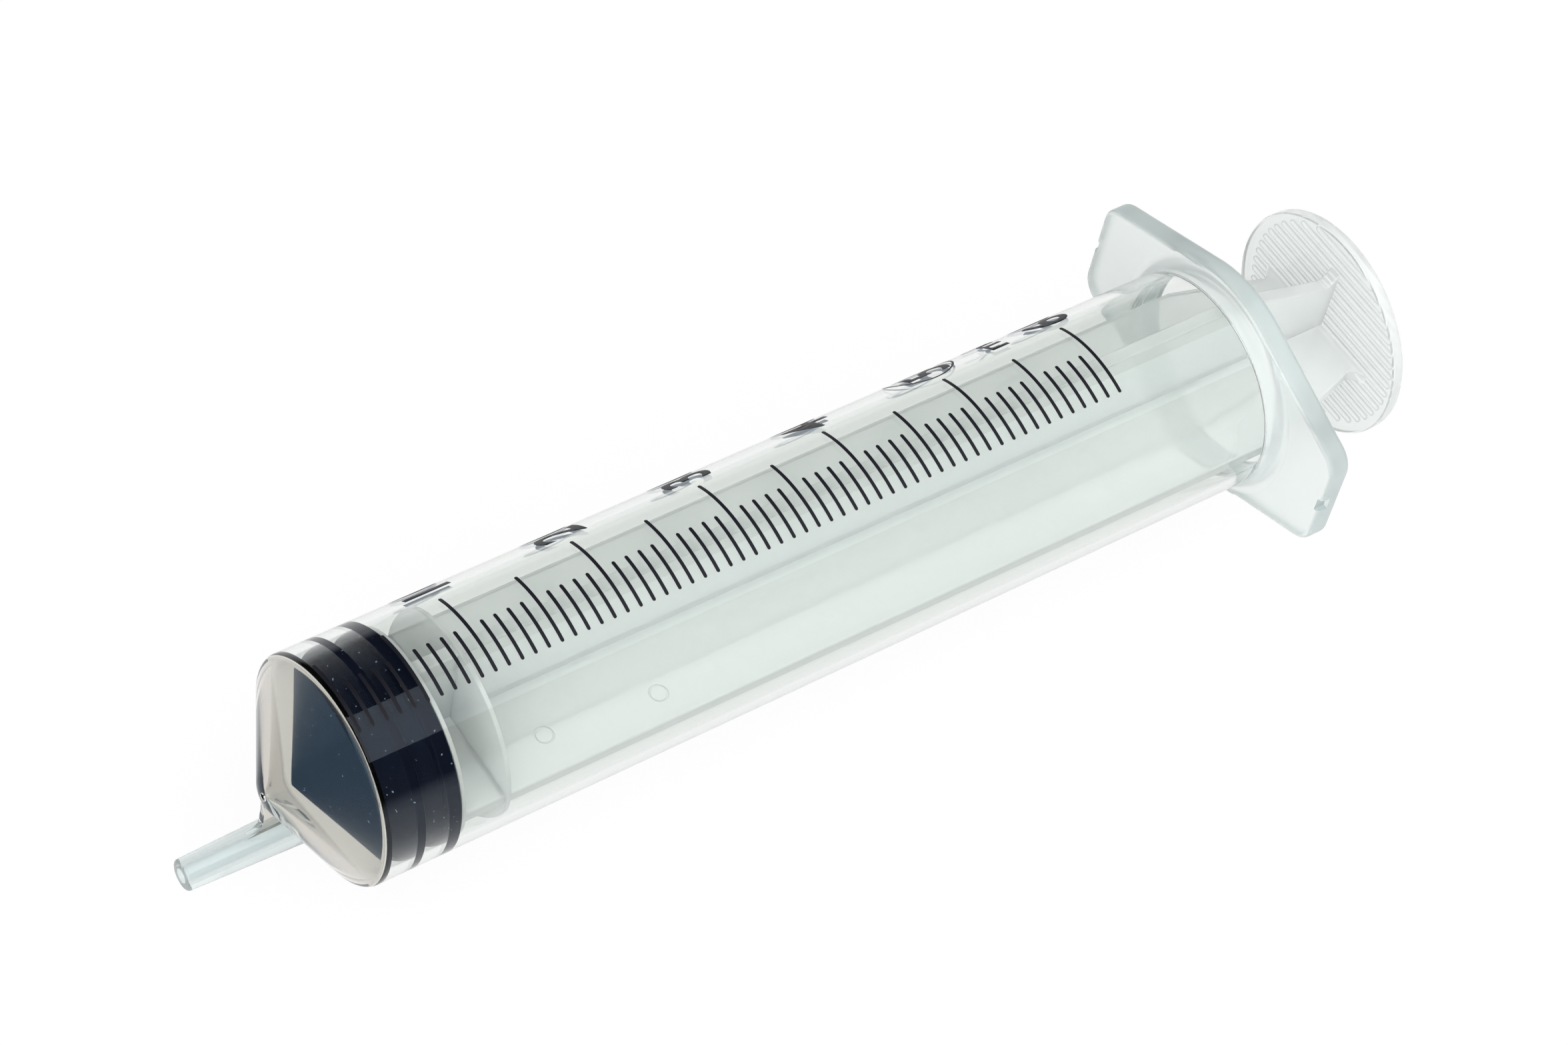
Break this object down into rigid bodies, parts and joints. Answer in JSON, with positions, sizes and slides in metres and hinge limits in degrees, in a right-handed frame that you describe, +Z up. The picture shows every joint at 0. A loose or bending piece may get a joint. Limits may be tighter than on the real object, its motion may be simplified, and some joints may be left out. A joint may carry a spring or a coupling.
{
  "type": "luer syringe",
  "caption": "Disposable slip-tip syringe: clear barrel with off-centre nozzle and finger flange, rubber stopper and cross-ribbed plunger that slides and turns.",
  "frame": {"origin": "bottom centre of the box round the whole syringe at rest, under the barrel's axis", "axes": "+X along the barrel's axis towards the thumb rest, +Y along the finger flange's span, +Z up, with the printed scale on top and the nozzle below the axis"},
  "size_m": [0.1664, 0.0478, 0.0316],
  "materials": {
    "barrel_polypropylene": "smooth, moulded, clear with a faint haze",
    "scale_ink": "printed, dark blue-black",
    "stopper_rubber": "moulded, oiled",
    "plunger_polypropylene": "smooth, moulded, milky"
  },
  "bodies": {
    "barrel_body": {"barrel": "barrel_polypropylene", "scale_lines": "scale_ink"},
    "stopper_body": {"stopper": "stopper_rubber"},
    "plunger_body": {"plunger_rod": "plunger_polypropylene"}
  },
  "joints": [
    {"name": "plunger_slide", "type": "slide", "parent": "barrel_body", "child": "stopper_body", "axis": [1, 0, 0], "range_m": [-0.0032, 0.1098]},
    {"name": "plunger_turn", "type": "hinge", "parent": "stopper_body", "child": "plunger_body", "pos_m": [-0.0562, 0, 0.0158], "axis": [1, 0, 0], "continuous": true}
  ]
}
